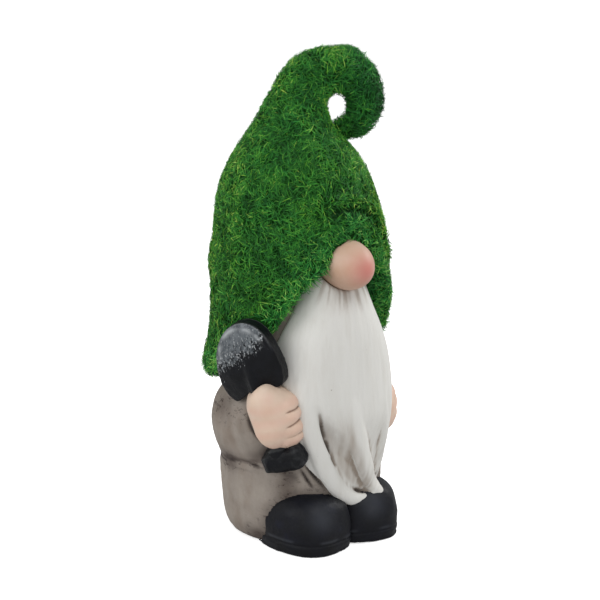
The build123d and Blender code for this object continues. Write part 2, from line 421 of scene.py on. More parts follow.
def coat_paint():
    """Stone-grey paint in clouds, with stains, streaks, a wash partly of painted shade, dark speckles,
    and dark lines of scratches and painted shade.
    """
    paint = Paint("coat_paint", 0.72, 0.25)
    clouds = paint.ramp(
        paint.noise(22, 5, (1, 1, 1.3), 0.6),
        (0.3, tint(140, 131, 122)),
        (0.5, tint(156, 147, 138)),
        (0.72, tint(170, 161, 151)),
    )
    streaks = paint.ramp(paint.noise(4, 5, (1, 1, 4), 0.65), (0.4, 0.0), (0.8, 0.35))
    patches = paint.ramp(paint.noise(17, 4, (1, 1, 1.6)), (0.5, 0.0), (0.7, 0.6))
    stained = paint.mix(patches, clouds, tint(128, 112, 98))
    brushed = paint.mix(streaks, stained, tint(136, 126, 117))
    wash_and_shade = paint.mix(paint.attribute("wash_and_shade"), brushed, tint(92, 82, 76))
    speckle = paint.ramp(paint.noise(2.6, 5, (1.6, 1.6, 1), 0.75), (0.54, 0.0), (0.64, 1.0))
    smudge = paint.product(speckle, paint.attribute("smudge"))
    smudged = paint.mix(smudge, wash_and_shade, tint(74, 64, 59))
    cracked_and_shaded = paint.mix(paint.attribute("cracks_and_shade"), smudged, tint(52, 44, 41))
    paint.relief(0.2, paint.noise(1.1, 3), paint.noise(5, 2))
    return paint.colour(cracked_and_shaded)


def skin_paint(name, skin, cheek):
    """Matt flesh paint that blushes where the piece's blush attribute says."""
    paint = Paint(name, 0.5, 0.4)
    pale = [c + 0.12 * (1 - c) for c in skin[:3]] + [1.0]
    mottle = paint.ramp(paint.noise(9, 4), (0.3, skin), (0.8, pale))
    blush = paint.mix(paint.attribute("blush"), mottle, cheek)
    # darker with painted shade on the nose, and with brown wash in the hollows of the hands
    wash_and_shade = paint.mix(paint.attribute("wash_and_shade"), blush, tint(150, 104, 82))
    crease = paint.mix(paint.attribute("cracks_and_shade"), wash_and_shade, tint(98, 70, 56))
    paint.relief(0.07, paint.noise(1.2, 3), paint.noise(0.5, 1))
    return paint.colour(crease)


def boot_paint():
    """Blue-black satin paint, paler where its attribute for wear and painted highlights says."""
    paint = Paint("boot_paint", 0.36, 0.2)
    navy = paint.ramp(
        paint.noise(12, 4),
        (0.3, tint(10, 11, 15)),
        (0.6, tint(14, 16, 24)),
        (0.8, tint(20, 23, 38)),
    )
    painted_highlight = paint.mix(paint.attribute("wear_and_highlight"), navy, tint(74, 77, 84))
    rough = paint.ramp(paint.noise(7, 4), (0.3, 0.46), (0.7, 0.6))
    paint.set(paint.shader, "Roughness", rough)
    paint.relief(0.12, paint.noise(1.3, 3), paint.noise(6, 2))
    return paint.colour(painted_highlight)


def shovel_paint():
    """Black paint with a dry brushing of silver, where the piece's silver attribute says, and pale worn
    edges with a painted highlight along the blade's top rim.
    """
    paint = Paint("shovel_paint", 0.42, 0.15)
    black = paint.ramp(paint.noise(6, 4), (0.3, tint(13, 14, 17)), (0.75, tint(20, 22, 27)))
    grain = paint.sum(paint.noise(1.9, 5, (1, 1, 1.5), 0.85), -0.5)
    catch = paint.sum(paint.attribute("silver"), paint.product(grain, 2.3))
    cover = paint.ramp(catch, (0.42, 0.0), (0.56, 0.85), (0.95, 1.0))
    metal = paint.noise(3, 5, (1, 1, 2), 0.75)
    silver = paint.ramp(metal, (0.35, tint(78, 83, 88)), (0.7, tint(122, 128, 132)))
    brushed = paint.mix(cover, black, silver)
    flecks = paint.ramp(paint.noise(1.0, 2, (1, 1, 1.6)), (0.56, 0.0), (0.61, 0.9))
    rough_end = paint.ramp(catch, (0.3, 0.0), (0.42, 1.0), (0.6, 0.7), (0.8, 0.0))
    flecked = paint.mix(paint.product(flecks, rough_end), brushed, tint(182, 186, 188))
    # paler on worn edges, with a painted highlight on the blade's top rim
    edged = paint.mix(paint.attribute("wear_and_highlight"), flecked, tint(186, 190, 192))
    paint.relief(0.16, paint.noise(1.0, 3), paint.noise(4, 2))
    return paint.colour(edged)


def blade_paint():
    """Plastic grass: darker at the root, as painted shade, and every blade its own green, from emerald
    to yellow.
    """
    paint = Paint("grass_blades", 0.6, 0.25)
    tufts = paint.product(paint.sum(paint.noise(16, 2), -0.5), 0.5)
    tone = paint.sum(paint.attribute("shade"), tufts)
    tones = [0.0, 0.3, 0.55, 0.78, 1.0]
    emeralds = [(10, 52, 20), (26, 98, 40), (48, 142, 56), (92, 182, 72), (156, 214, 104)]
    yellows = [(12, 54, 12), (36, 102, 26), (66, 146, 38), (116, 184, 52), (184, 216, 88)]
    emerald, yellow = (
        paint.ramp(tone, *[(t, tint(*green)) for t, green in zip(tones, greens)])
        for greens in (emeralds, yellows)
    )
    return paint.colour(paint.mix(paint.attribute("yellow"), emerald, yellow))


def mat_paint():
    """The dark mat of root fibres that the blades grow from."""
    paint = Paint("grass_mat", 0.9, 0.1)
    fibres = paint.noise(1.6, 5, roughness=0.7)
    dark = paint.ramp(fibres, (0.3, tint(9, 38, 9)), (0.6, tint(22, 70, 18)), (0.8, tint(40, 98, 28)))
    paint.relief(0.8, fibres)
    return paint.colour(dark)


def cast_paint(name, pale, dark):
    """Bare or primed casting, seen inside the hat and under the base."""
    paint = Paint(name, 0.85, 0.2)
    paint.relief(0.25, paint.noise(1.0, 3), paint.noise(0.4, 2))
    return paint.colour(paint.ramp(paint.noise(8, 5, roughness=0.65), (0.3, dark), (0.7, pale)))


def steel(name, pale, dark):
    """Bare or painted steel, unevenly dull."""
    paint = Paint(name, 0.35, 0.5, metallic=0.9)
    paint.set(paint.shader, "Roughness", paint.ramp(paint.noise(3, 4), (0.3, 0.25), (0.7, 0.5)))
    return paint.colour(paint.ramp(paint.noise(2.5, 4), (0.3, dark), (0.7, pale)))


def rubber():
    """The plug's dull black rubber."""
    paint = Paint("plug_rubber", 0.75, 0.3)
    paint.relief(0.1, paint.noise(0.6, 3))
    return paint.colour(paint.ramp(paint.noise(5, 4), (0.3, tint(28, 28, 29)), (0.75, tint(52, 52, 54))))


# ---------------- beard

# The locks that lie over the beard's hollow, as (across, up) from the middle of the beard's foot
MAIN_LOCK = [(-32, 92), (-32, 81), (-31.5, 70), (-29.5, 56), (-26.5, 46), (-22.5, 37), (-15.5, 23),
             (-6, 10.5), (4, 3.8), (13.5, 1.8), (21.5, 4)]
SECOND_LOCK = [(-1, 74), (-1.5, 60), (1, 48), (5, 37.5), (10.5, 25), (18, 11.5), (25.5, 2.8)]
THIRD_LOCK = [(23, 70), (26, 57), (27, 44), (27, 34), (26.5, 24), (25.5, 17)]
# Half widths of the locks, at shares of their length
MAIN_SHARES, MAIN_WIDTHS = [0, 0.3, 0.75, 0.9, 1], [5.5, 6.6, 5.6, 4.8, 3.8]
SECOND_SHARES, SECOND_WIDTHS = [0, 0.4, 0.75, 1], [6.0, 7.4, 6.4, 5.0]
THIRD_SHARES, THIRD_WIDTHS = [0, 0.5, 1], [3.0, 3.6, 3.0]
# The beard's own half width, at heights above its foot
BEARD_UPS, BEARD_HALVES = [0, 20, 40, 60, 90, 120, 147], [9, 24, 34, 42, 41, 29, 14]


def on_front(tree, foot, path):
    """A fine path on the figure's front, from points as (across, up) from the beard's foot."""
    out = []
    for across, up in path:
        hit = tree.ray_cast(Vector((foot[0] + across, -200, foot[2] + up)), Vector((0, 1, 0)))[0]
        out.append(list(hit) if hit else [foot[0] + across, out[-1][1], foot[2] + up])
    return fine_path(out)


def ribbon(path, half_width, half_depth, sink):
    """A long lock with an oval section that tapers to both ends, sunk into the surface it lies on."""
    ahead = unit(np.gradient(path, axis=0))
    outward = np.column_stack([path[:, 0] / 60, np.full(len(path), -1.0), np.full(len(path), 0.05)])
    across = unit(np.cross(ahead, outward))
    outward = np.cross(across, ahead)
    share = np.linspace(0, 1, len(path))
    taper = np.sqrt(np.clip(1 - np.abs(2 * share - 1) ** 6, 0.02, 1))
    width = np.interp(share, *half_width) * taper
    depth = half_depth * taper
    sides = 20
    rings = []
    for i, p in enumerate(path):
        for k in range(sides):
            a = 2 * math.pi * k / sides
            off = across[i] * width[i] * math.cos(a)
            rings.append(p + off + outward[i] * (depth[i] * math.sin(a) - sink))
    faces = []
    for i in range(len(path) - 1):
        for k in range(sides):
            a, b = i * sides + k, i * sides + (k + 1) % sides
            faces += [[a, b, b + sides], [a, b + sides, a + sides]]
    last = (len(path) - 1) * sides
    for k in range(1, sides - 1):
        faces += [[0, k + 1, k], [last, last + k, last + k + 1]]
    return np.array(rings), faces


def hollow_depth(points, up, main, second, third):
    """How deep the beard is hollowed between its locks, deepest beside the main one."""
    from_main = beside(points, main)[0]
    from_second = beside(points, second)[0]
    from_third = beside(points, third)[0]
    reach = np.interp(up, [0, 30, 55, 70], [34, 27, 17, 10])
    near_hollow = ease(2, 6, from_main) * (1 - ease(0.4, 1, from_main / reach))
    near_hollow *= (1 - ease(-8, -4, from_second)) * ease(70, 46, up)
    far_hollow = ease(3, 6, from_second) * ease(-1, -4, from_third)
    far_hollow *= ease(58, 34, up)
    behind = gap_to(points, "body_shell", "left_boot", "right_boot")
    return np.minimum(5.0 * near_hollow + 3.5 * far_hollow, 0.6 * behind)


def beard_block(foot, paths):
    """The beard's mass under the locks, as vertices and triangles."""
    clay = Clay("beard_locks", [node_mesh("beard")], 0.8)
    clay.smooth(4)
    facing = ease(-0.15, -0.5, clay.out[:, 1])
    clay.push(-hollow_depth(clay.at, clay.at[:, 2] - foot[2], *paths) * facing)
    triangles = clay.triangles()
    bpy.data.objects.remove(clay.obj)
    return clay.at, triangles


def comb(clay, flow, up, front, from_main):
    """Raises strands that follow the flow, fainter on the main lock and stronger in the hollows."""
    broad = rough_noise(flow, (7, 10, 90), 3)
    fine = rough_noise(flow, (2.2, 10, 40), 5)
    strength = np.interp(up, [0, 50, 90, 147], [0.5, 0.55, 0.35, 0.25])
    on_lock = 1 - ease(5, 7, np.abs(from_main))
    in_hollow = ease(0.3, 1.4, clay.hollows(60))
    clay.push(front * (strength * (broad + 0.5 * fine) * (1 - 0.7 * on_lock) + 0.45 * in_hollow * fine))


def crevice_and_shade(points, edge, along):
    """How deep a crevice runs beside the main lock, which is carved and darkened with painted shade: at
    its middle, and again near its tip.
    """
    cracks_and_shade = 1.3 * bump(edge - 0.6, 1.3) * bump(along - 0.44, 0.13)
    cracks_and_shade += bump(edge - 0.4, 1.0) * bump(along - 0.86, 0.06)
    return cracks_and_shade * ease(-0.9, -0.1, noise(points, 5, 15))


def beard_wash_and_shade(clay, foot, flow, up, front, inside):
    """Brown wash in what lies deep and between the locks, and painted shade in streaks under the hat and
    the nose.
    """
    ridges = 0.5 + 0.5 * noise(flow, (2.4, 20, 45), 14)
    wash_and_shade = ease(0.1, 1.6, clay.hollows(40)) + ease(0.05, 0.35, clay.hollows(8)) * 0.5
    wash_and_shade += (0.3 + 0.6 * ridges) * inside * front
    # the lower far side is darker in ridges
    far_side = ease(4, 20, clay.at[:, 0] - foot[0]) * ease(75, 30, up)
    wash_and_shade += 0.3 * far_side * ridges * front
    streaks = 0.25 + 0.9 * ease(-0.3, 0.6, noise(flow, (1.8, 20, 50), 12))
    # painted shade, in streaks, under the hat and the nose
    under_hat = ease(7, 0, gap_to(clay.at, "hat_turf")) * 0.08
    under_nose = ease(19, 3, gap_to(clay.at, "nose", far=20)) * 0.7
    return wash_and_shade * 0.8 + (under_hat + under_nose) * streaks


def make_beard():
    low, high = corners("beard")
    foot = np.array([(low[0] + high[0]) / 2, low[1], low[2]])
    tree = tree_of("beard", "left_boot", "right_boot", "body_shell")
    main, second, third = (on_front(tree, foot, lock) for lock in (MAIN_LOCK, SECOND_LOCK, THIRD_LOCK))
    masses = [
        beard_block(foot, (main, second, third)),
        ribbon(main, (MAIN_SHARES, MAIN_WIDTHS), 3.4, 2.2),
        ribbon(second, (SECOND_SHARES, SECOND_WIDTHS), 3.2, 2.0),
        ribbon(third, (THIRD_SHARES, THIRD_WIDTHS), 2.6, 2.0),
    ]
    clay = Clay("beard_locks", masses, 0.75)
    up = clay.at[:, 2] - foot[2]
    clay.smooth(10, ease(50, 85, up) + 0.12)
    clay.smooth(3)

    # across is stretched so that strands draw together with the beard
    across = (clay.at[:, 0] - foot[0]) / np.interp(up, BEARD_UPS, BEARD_HALVES) * 30
    flow = np.column_stack([across, np.zeros(len(up)), up])
    front = ease(-0.05, -0.4, clay.out[:, 1])
    from_main, along = beside(clay.at, main)
    comb(clay, flow, up, front, from_main)
    edge = np.abs(from_main) - np.interp(along, MAIN_SHARES, MAIN_WIDTHS)
    inner = from_main > 0
    # a crevice beside the main lock, carved and darkened with painted shade
    cracks_and_shade = crevice_and_shade(clay.at, edge, along) * inner * front
    clay.push(-2.0 * cracks_and_shade)

    from_second = beside(clay.at, second)[0]
    inside = ease(0, 4, edge) * inner * ease(0, 5, -from_second) * ease(70, 40, up)
    clay.paint("wash_and_shade", beard_wash_and_shade(clay, foot, flow, up, front, inside))
    clay.paint("cracks_and_shade", cracks_and_shade)
    clay.finish(beard_paint(), "beard", "beard_paint")


# ---------------- coat

# Where the coat is stained the most, with the size of each stain
STAINS = [((-36, -35, 38), 7), ((-34, -37, 46), 5), ((-52, 2, 49), 6), ((-56, 3, 85), 8),
          ((-47, -14, 6), 7), ((40, 20, 30), 8), ((-20, 48, 70), 9)]
# The pulled folds beside the beard, as (across, up). The other side has their mirror images.
FOLDS = [[(-29, 51), (-25.5, 44), (-21.5, 37.5)], [(-27.5, 57.5), (-23.5, 49), (-20, 44), (-14.5, 37)]]


def sleeve_crease(points):
    """Height of the crease under the sleeves at each point's bearing, and how much sleeve is there."""
    bearing = np.abs(turn_of(points))
    height = 52 + 3.5 * np.sin(np.radians(bearing * 2.1)) + 1.5 * noise(points, 14, 4)
    return height, ease(40, 62, bearing) * (1 - ease(150, 172, bearing))


def pulled_folds(points):
    """How deep each point lies in a fold, from 0 to 1."""
    deepest = np.zeros(len(points))
    for mirror in (1, -1):
        for fold in FOLDS:
            line = fine_path([[mirror * across, 0, up] for across, up in fold])
            off, along = beside(points * [1, 0, 1], line)
            ends = np.sin(np.pi * np.clip(along, 0.04, 0.98)) ** 0.5
            deepest = np.maximum(deepest, bump(off, 0.9) * ends)
    return deepest * (points[:, 1] < -20)


def stains_on(points):
    """How stained each point is, and how much it lies on one of the veins in a stain."""
    stained = np.zeros(len(points))
    veined = np.zeros(len(points))
    for spot, size in STAINS:
        stain = bump(np.linalg.norm(points - np.array(spot), axis=1), size)
        stained += stain
        veined += ease(0.2, 0.6, stain)
    return stained, veined * bump(noise(points, 7, 83), 0.22)


def paint_coat(clay, crease_up, sleeve, outer, folds, cuff):
    """Wash in what lies deep, smudges and stains, painted shadow in the sleeves' crease, painted shade
    beside the boots and the grip, and dark lines: painted shade in the folds and round the cuffs, with
    scratches along the crease and the veins of stains.
    """
    y, z = clay.at[:, 1], clay.at[:, 2]
    boot_gap = gap_to(clay.at, "right_boot", "left_boot")
    stained, veins = stains_on(clay.at)
    dabs = ease(0.1, 0.7, noise(clay.at, (16, 16, 22), 61)) * ease(60, 30, z)
    wash_and_shade = ease(0.12, 0.9, clay.hollows(25)) * 0.8 + 0.4 * dabs + 0.6 * stained
    # painted shadow in the crease under the sleeves
    wash_and_shade += bump(z - crease_up, 6) * sleeve * (0.6 + 0.5 * noise(clay.at, 10, 6))
    # darker towards the bottom
    wash_and_shade += 0.5 * ease(5, 0, z) + 0.25 * ease(14, 4, z)
    # painted shade beside the boots and the grip
    wash_and_shade += 0.45 * ease(6, 0, gap_to(clay.at, "right_boot", "left_boot", "shovel_grip"))
    clay.paint("wash_and_shade", wash_and_shade)

    elbow = bump(z - 84, 7) * bump(np.abs(turn_of(clay.at)) - 85, 35)
    smudge = bump(z - crease_up + 3, 3.5) * sleeve + elbow + 1.2 * stained + 0.9 * dabs
    smudge += 0.5 * ease(8, 2, z) + 0.7 * ease(7, 2, boot_gap)
    clay.paint("smudge", smudge)

    scratch = ease(0.2, 0.5, noise(clay.at, (9, 9, 1.4), 17))
    scratch *= bump(z - crease_up + 2.5, 3) * sleeve
    # dark lines: painted shade in the folds and round the cuffs, with scratches along the crease and
    # veins in the stains
    cracks_and_shade = folds + scratch + cuff * ease(88, 80, z) + 0.35 * veins * outer * (y < 0)
    clay.paint("cracks_and_shade", cracks_and_shade)


def make_coat():
    clay = Clay("coat", [node_mesh("body_shell")], 1.12)
    x, y, z = clay.at.T
    arm = ease(34, 40, np.abs(x)) * ease(36, 50, z) * ease(30, 15, y)
    clay.smooth(5)
    clay.smooth(30, arm)
    x, y, z = clay.at.T
    outer = ease(0.1, 0.4, (clay.out[:, 0] * x + clay.out[:, 1] * y) / np.hypot(x, y))
    crease_up, sleeve = sleeve_crease(clay.at)
    crease = bump(z - crease_up, 3.8)
    roll = bump(z - crease_up - 6, 5)
    clay.push((0.9 * roll - 1.0 * crease) * sleeve * outer)
    folds = pulled_folds(clay.at)
    clay.push(-1.5 * folds * outer)
    # a groove where the sleeves end around the hands
    cuff = bump(gap_to(clay.at, "right_hand", "left_hand") - 3, 1.2) * outer
    uneven = 0.5 * rough_noise(clay.at, 16, 2) + 0.16 * rough_noise(clay.at, 4, 9)
    clay.push(uneven * outer - 0.7 * cuff)
    paint_coat(clay, crease_up, sleeve, outer, folds, cuff)
    clay.finish(coat_paint(), "body_shell", "coat_paint")


# ---------------- nose, hands, boots


def make_nose():
    clay = Clay("nose_ball", [node_mesh("nose")], 0.6)
    low, high = corners("nose")
    middle = np.array([(low[0] + high[0]) / 2, low[1] + 20, (low[2] + high[2]) / 2])
    x, y, z = (clay.at - middle).T
    # fuller below, and a little uneven
    clay.push(0.8 * ease(6, -12, z) * ease(4, -10, y) + 0.35 * noise(clay.at, 12, 8))
    clay.push(0.07 * rough_noise(clay.at, 2.5, 3))
    x, y, z = (clay.at - middle).T
    blush = bump(np.linalg.norm(np.column_stack([x - 1, y + 18, z + 1]), axis=1), 9.0)
    under = ease(2, -14, z + 0.4 * x)
    clay.paint("blush", 0.95 * blush)
    # painted shade towards the face, and on the underside towards the figure's right
    clay.paint("wash_and_shade", 0.2 * ease(-4, 12, y) + 0.2 * under * (1 - blush))
    clay.paint("cracks_and_shade", np.zeros(len(x)))
    skin = skin_paint("nose_paint", tint(202, 168, 143), tint(208, 126, 116))
    clay.finish(skin, "nose", "nose_paint")


def finger_marks(points, across, up):
    """How much each point lies on one of the four fingers, and in a groove between two."""
    pitch = 8.0
    rolls = np.zeros(len(points))
    grooves = np.zeros(len(points))
    for k in range(4):
        middle = 9.5 - pitch * k
        wobble = 0.9 * noise(points, 9, 20 + k) + 0.2 * across
        rolls = np.maximum(rolls, bump(up - middle - wobble, 3.4))
        if k > 0:
            faint = 0.5 if k == 3 else 1.0
            grooves = np.maximum(grooves, faint * bump(up - middle - pitch / 2 - wobble, 0.5))
    return rolls, grooves


def make_hand(name, node, centre, outward, finger, thumb):
    """A fist with four fingers across its front as strong as finger, its thumb side raised by thumb."""
    clay = Clay(name, [node_mesh(node)], 0.5)
    side = np.array([-outward[1], outward[0], 0.0])
    top = np.array([0.0, 0.0, 1.0])
    across, up, ahead = measure(clay.at, centre, side, top, outward)
    front = ease(-2, 6, ahead)
    # squarer than the egg it starts from
    clay.push(2.4 * np.clip(np.abs(across / 13) * np.abs(up / 17) * 2, 0, 1) * front)
    across, up = measure(clay.at, centre, side, top)
    reach = np.linalg.norm(clay.at - np.array(centre), axis=1)
    heel = ease(0.35, 0.95, (up - across) / reach / math.sqrt(2))
    clay.at += thumb * heel[:, None] * (0.7 * top - 0.6 * side)
    clay.smooth(60, ease(0, 6, up - 0.5 * across) * min(thumb, 1.0))
    across, up = measure(clay.at, centre, side, top)
    rolls, grooves = finger_marks(clay.at, across, up)
    ends = ease(-1, 3.5, across)
    clay.push(finger * (1.1 * rolls - 0.5) * front * ends)
    clay.push(-1.0 * finger * grooves * front * ends)
    clay.push(0.3 * rough_noise(clay.at, 6, 12))
    clay.smooth(2)
    clay.paint("wash_and_shade", ease(0.08, 0.5, clay.hollows(14)) * 0.5)
    broken = ease(-0.6, 0.1, noise(clay.at, 5, 27))
    clay.paint("cracks_and_shade", 0.7 * finger * grooves * front * ends * broken)
    far = ease(8, 16, np.abs(up))
    blush = rolls * front * 0.22 + 0.3 * far * np.clip(noise(clay.at, 8, 5), 0, 1)
    clay.paint("blush", blush)
    skin = skin_paint(name + "_paint", tint(221, 195, 173), tint(226, 160, 143))
    clay.finish(skin, node, "skin_paint")


def make_boot(name, node, material, inner, fill):
    """A boot with its toe filled out on its inner side, where it meets the other boot."""
    clay = Clay(name, [node_mesh(node)], 0.8)
    clay.smooth(2)
    clay.smooth(40, ease(1.0, 3.0, clay.at[:, 2]) * ease(17, 12, clay.at[:, 2]))
    x, y, z = clay.at.T
    inward = ease(0.1, 0.8, clay.out[:, 0] * inner)
    clay.at[:, 0] += inner * fill * inward * ease(-28, -46, y)
    clay.update()
    side = ease(0.2, 0.6, np.linalg.norm(clay.out[:, :2], axis=1)) * (z > 1)
    # the seam between the sole and the upper
    seam = z - 7.2 - 0.6 * noise(clay.at, 15, 1)
    groove = bump(seam, 0.8) * side
    clay.push(-0.8 * groove - 0.5 * ease(6, 2, z) * side + 0.5 * rough_noise(clay.at, 14, 6))
    clay.push(0.14 * rough_noise(clay.at, 3, 8))
    # a painted highlight along the seam, in patches
    shine = 0.4 * bump(seam - 1.7, 0.8) * ease(-0.1, 0.5, noise(clay.at, 11, 9)) * side
    # paler patches on faces that look up: painted highlight and worn paint
    painted_highlight = 0.05 * ease(0.2, 0.7, noise(clay.at, 9, 10)) * ease(0.3, 0.9, clay.out[:, 2])
    # a painted highlight on the cap of the toe
    toe = np.array([(x.min() + x.max()) / 2 - 5, y.min() + 5, 23])
    painted_highlight += 0.5 * bump(np.linalg.norm(clay.at - toe, axis=1), 8)
    clay.paint("wear_and_highlight", shine + painted_highlight)
    clay.finish(material, node, "boot_paint")


# ---------------- shovel


def shovel_frame():
    """Middle of the blade, and the directions of the shaft, the blade's width and its face."""
    blade = node_mesh("shovel_blade")[0]
    grip = node_mesh("shovel_grip")[0]
    middle = (blade.min(0) + blade.max(0)) / 2
    axis = middle - (grip.min(0) + grip.max(0)) / 2
    axis /= np.linalg.norm(axis)
    # the blade is thinnest along the last of its three main directions
    spread = np.linalg.svd(blade - blade.mean(0), full_matrices=False)[2]
    face = spread[2] - axis * (spread[2] @ axis)
    face /= np.linalg.norm(face)
    if face[1] > 0:
        face = -face
    return middle, axis, np.cross(axis, face), face


def make_blade(material):
    middle, axis, side, face = shovel_frame()
    clay = Clay("spade_blade", [node_mesh("shovel_blade")], 0.5)
    across, up = measure(clay.at, middle, side, axis)
    clay.smooth(3)
    clay.smooth(60, ease(11, 7, np.abs(across)) * ease(4, -2, up))
    across, up = measure(clay.at, middle, side, axis)
    front = ease(0.3, 0.75, clay.out @ face)
    # a raised ridge runs from the socket up the face, and a bevel follows the rim
    ridge = bump(across - 1.5, 2.6) * ease(8, -6, up) * front
    lip = bump(np.hypot(across / 19, (up - 1) / 24) - 0.9, 0.06) * front * ease(2, 16, up)
    uneven = 0.35 * rough_noise(clay.at, 9, 3) + 0.1 * rough_noise(clay.at, 2.5, 4)
    clay.push(1.7 * ridge + 0.7 * lip + uneven)
    across, up = measure(clay.at, middle, side, axis)
    # dry-brushed from the upper left down, and not at the right edge
    fade = ease(-10, 21, up - 0.4 * across + 4 * noise(clay.at, 8, 7))
    fade *= ease(28, 12, across + 3 * noise(clay.at, 5, 9))
    clay.paint("silver", 1.05 * fade * front - 0.25, lowest=-1)
    raised = ease(0.04, 0.3, -clay.hollows(12))
    patchy = ease(-0.5, 0.4, noise(clay.at, 5, 71))
    # the top rim is paler in patches, worn paint with a painted highlight, and raised parts are worn
    # paler
    wear_and_highlight = 0.6 * lip * patchy * ease(20, 10, across) + 0.1 * raised * ease(4, 14, up)
    clay.paint("wear_and_highlight", wear_and_highlight)
    clay.finish(material, "shovel_blade", "shovel_paint")


def make_grip(material):
    """A rough block: a round bar with flats knocked on it."""
    clay = Clay("spade_grip", [node_mesh("shovel_grip")], 0.5)
    _, axis, side, face = shovel_frame()
    low, high = corners("shovel_grip")
    middle = (low + high) / 2
    clay.push(1.8 + 0.9 * noise(clay.at, 10, 35))
    off = clay.at - middle
    flats = 16
    rng = np.random.default_rng(SEED)
    for _ in range(flats):
        way = rng.normal(0, 1, 3) * [0.7, 1, 1]
        way = (way[0] * side + way[1] * axis + way[2] * face) / np.linalg.norm(way)
        reach = off @ way
        off -= np.maximum(reach - 0.86 * reach.max(), 0)[:, None] * way
    clay.at = off + middle
    clay.smooth(3)
    clay.push(0.25 * rough_noise(clay.at, 3, 32))
    # below 0, so that no silver catches on it
    clay.paint("silver", np.full(len(clay.at), -0.6), lowest=-1)
    clay.paint("wear_and_highlight", 0.06 * ease(0.1, 0.4, -clay.hollows(10)))
    clay.finish(material, "shovel_grip", "shovel_paint")


# ---------------- grass

BLADES = 62000
# The blades are split over this many pieces, each a sector round the hat
BLADE_GROUPS = 3
# How high the brim stands over the flock's rim
BRIM_DEPTH = 20.0
# The groove above the face, where the flock turns up into the brim, as points on the hat
GROOVE = [(-18, -45, 204), (-8.7, -48.2, 207), (0, -48, 207.5), (10, -47.4, 206.5),
          (20.4, -44.7, 201.7), (27.6, -43.3, 191.5), (31.5, -43, 177.7), (38.4, -38.7, 161.6)]


def open_points(clay, others):
    """Marks the points of the flock that can grow grass: nothing stands just outside them."""
    free = np.ones(len(clay.at), bool)
    for i, (p, n) in enumerate(zip(clay.at, clay.out)):
        hit = others.ray_cast(Vector(p - n * 0.5), Vector(n), 5.0)
        free[i] = hit[0] is None
    return free


def rim_height(points):
    """Height of the flock's rim at the bearing of each point."""
    verts = node_mesh("hat_turf")[0]
    slices = 48
    turn = turn_of(verts)
    slice_of = np.round((turn + 180) / 360 * slices).astype(int) % slices
    heights = np.array([verts[slice_of == k, 2].min() for k in range(slices)])
    at = (turn_of(points) + 180) / 360 * slices
    return np.interp(at, np.arange(slices + 1), np.append(heights, heights[0]))


def scatter(clay, free, count, rng):
    """Evenly spread random points on the free faces, with the surface's normal at each."""
    tris = clay.triangles()
    tris = tris[free[tris].all(1)]
    a, b, c = clay.at[tris[:, 0]], clay.at[tris[:, 1]], clay.at[tris[:, 2]]
    area = np.linalg.norm(np.cross(b - a, c - a), axis=1)
    pick = rng.choice(len(tris), count, p=area / area.sum())
    r1, r2 = np.sqrt(rng.random(count)), rng.random(count)
    weights = np.column_stack([1 - r1, r1 * (1 - r2), r1 * r2])
    corner = tris[pick]
    at = (clay.at[corner] * weights[:, :, None]).sum(1)
    out = (clay.out[corner] * weights[:, :, None]).sum(1)
    return at, unit(out)


def grow_blades(at, out, size, rng):
    """Five points and three triangles for each blade: a root, a bent middle and a tip."""
    count = len(at)
    # blades lean in tufts, each tuft its own way, with some that lie across the rest
    field = np.column_stack([noise(at, 9, 41), noise(at, 9, 42), noise(at, 9, 43)])
    lean = unit(field * 0.8 + rng.normal(0, 0.55, (count, 3)))
    lean = unit(lean - out * (lean * out).sum(1)[:, None])
    # a few are longer and paler, though not where the blades are kept short
    long = rng.random(count) < 0.05 * (size > 0.85)
    length = size * rng.uniform(4.5, 8.2, count) * (1 + 0.15 * noise(at, 12, 44) + 0.45 * long)
    rise = rng.uniform(0.2, 0.75, count)
    first = unit(lean + out * rise[:, None])
    bent = rise - rng.uniform(0.1, 0.55, count)
    second = unit(lean + out * bent[:, None] + rng.normal(0, 0.16, (count, 3)))
    proud = (first * out).sum(1) * 0.5 * length + (second * out).sum(1) * 0.5 * length
    depth = np.clip(proud - rng.uniform(-0.6, 1.1, count), 1.0, 5.0)
    root = at - out * depth[:, None]
    middle = root + first * (0.5 * length)[:, None]
    tip = middle + second * (0.5 * length)[:, None]
    flat = unit(np.cross(first, out + rng.normal(0, 0.5, (count, 3))))
    half = rng.uniform(0.2, 0.34, count)[:, None]
    wide, narrow = flat * half, flat * half * 0.8
    verts = np.stack([root - wide, root + wide, middle - narrow, middle + narrow, tip], axis=1)
    return verts, shades_of(at, rng) + 0.12 * long[:, None] * [0, 0, 1, 1, 1]


def shades_of(at, rng):
    """How pale each blade is at its five points: pale blades are few, and tufts differ."""
    count = len(at)
    pale = rng.random(count) < 0.15
    tufts = 0.1 * noise(at, 6, 45) + 0.05 * noise(at, 17, 46)
    tone = 0.44 + 0.12 * rng.normal(size=count) + tufts + 0.3 * pale
    # painted shade darkens each blade towards its root
    return np.clip(tone, 0.05, 1.0)[:, None] * np.array([0.3, 0.3, 0.85, 0.85, 1.12])


